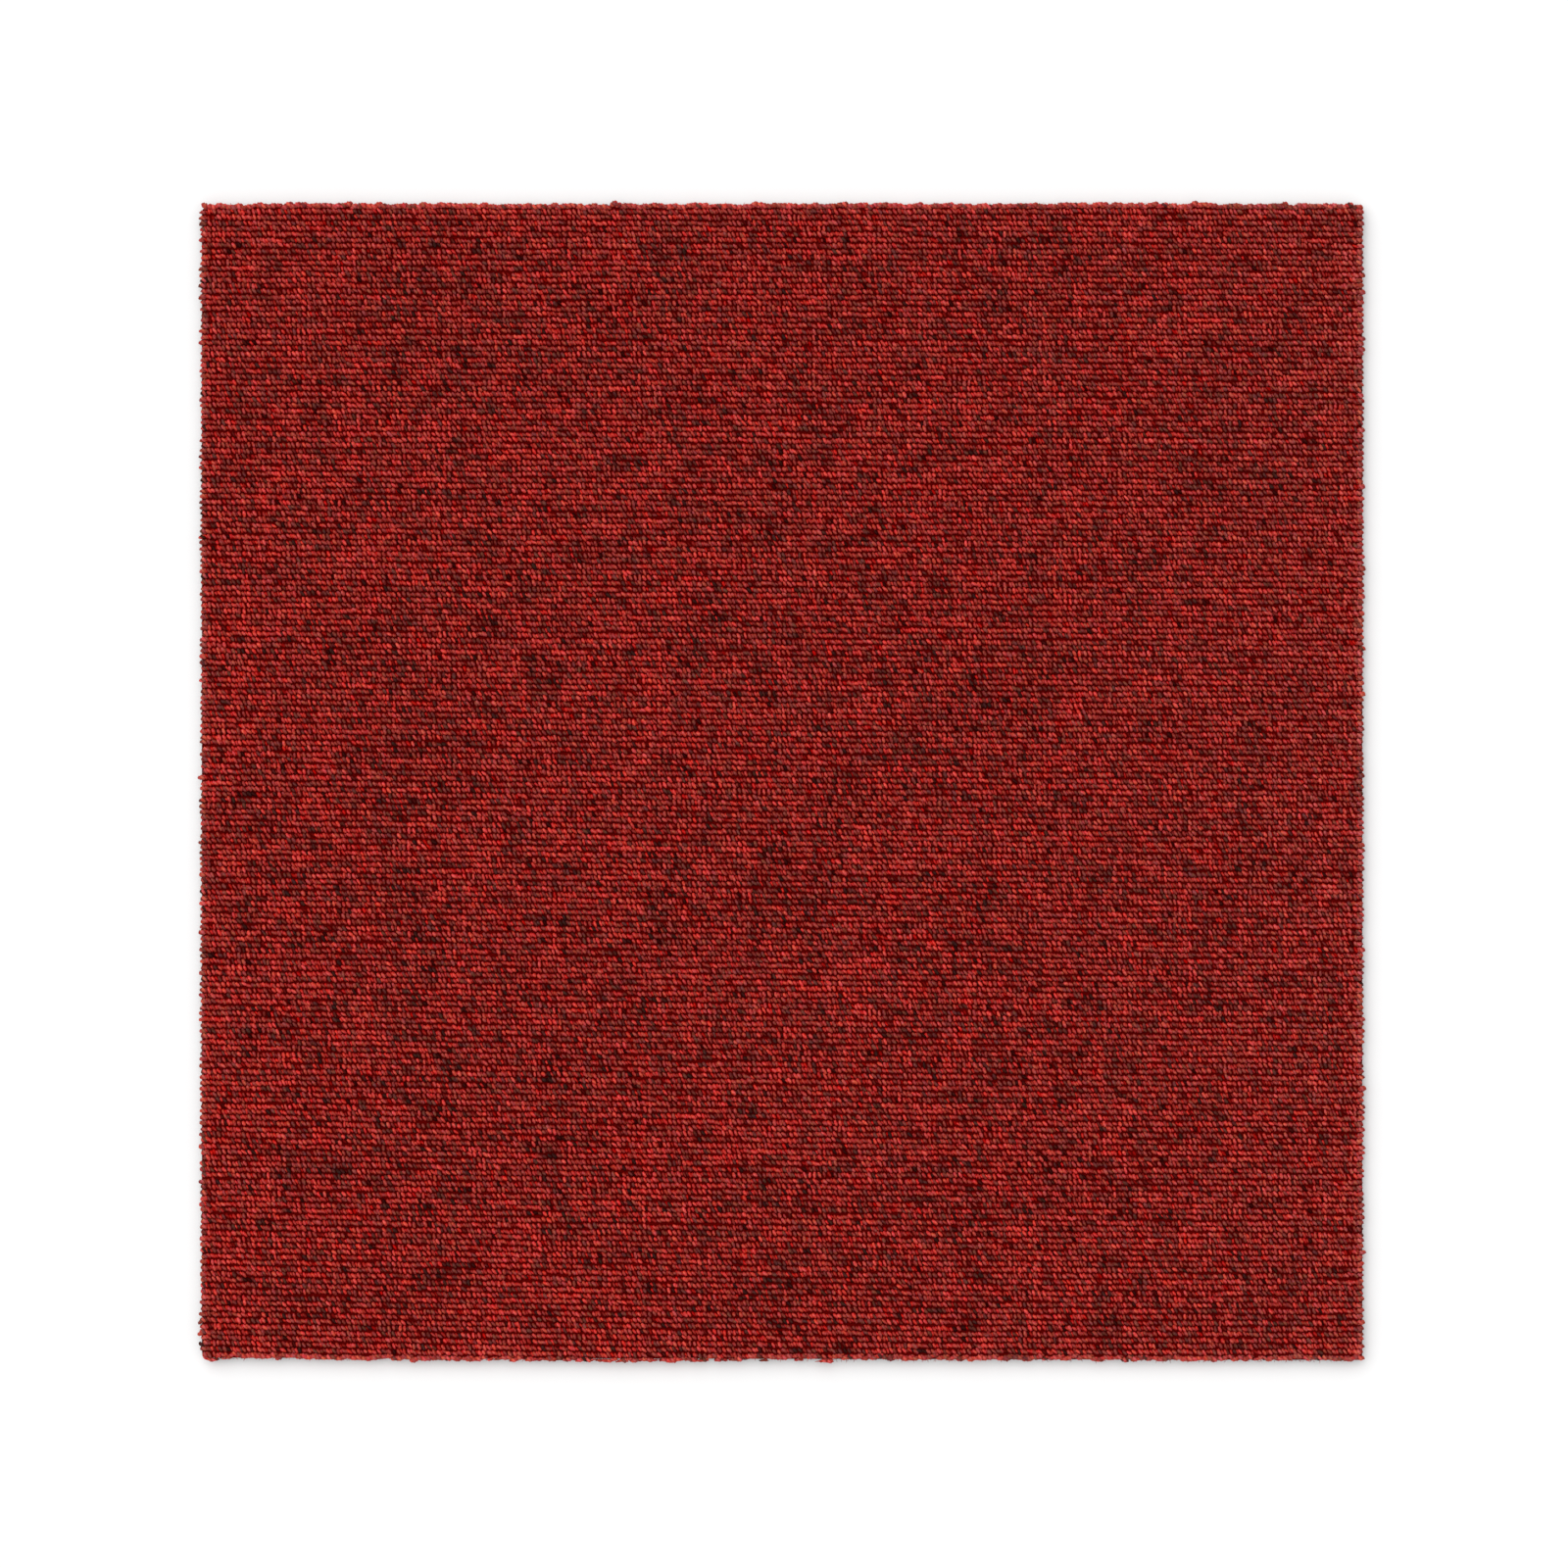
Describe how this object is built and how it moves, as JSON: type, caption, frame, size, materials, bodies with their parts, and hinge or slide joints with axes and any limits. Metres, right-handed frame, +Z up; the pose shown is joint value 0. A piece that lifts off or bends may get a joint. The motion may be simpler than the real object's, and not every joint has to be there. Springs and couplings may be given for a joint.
{
  "type": "carpet tile",
  "caption": "Square loop-pile carpet tile: straight rows of heathered red tufted loops on a thin, heavy dark backing slab, laid loose or bonded to a floor.",
  "frame": {"origin": "centre of the underside, on the floor", "axes": "+Z up out of the pile, +X along the loop rows, +Y across them"},
  "size_m": [0.5, 0.5, 0.0061],
  "materials": {
    "loop_yarn": "matte",
    "backing_compound": "matte"
  },
  "bodies": {
    "root": {"loop_pile": "loop_yarn", "backing": "backing_compound"}
  },
  "joints": []
}
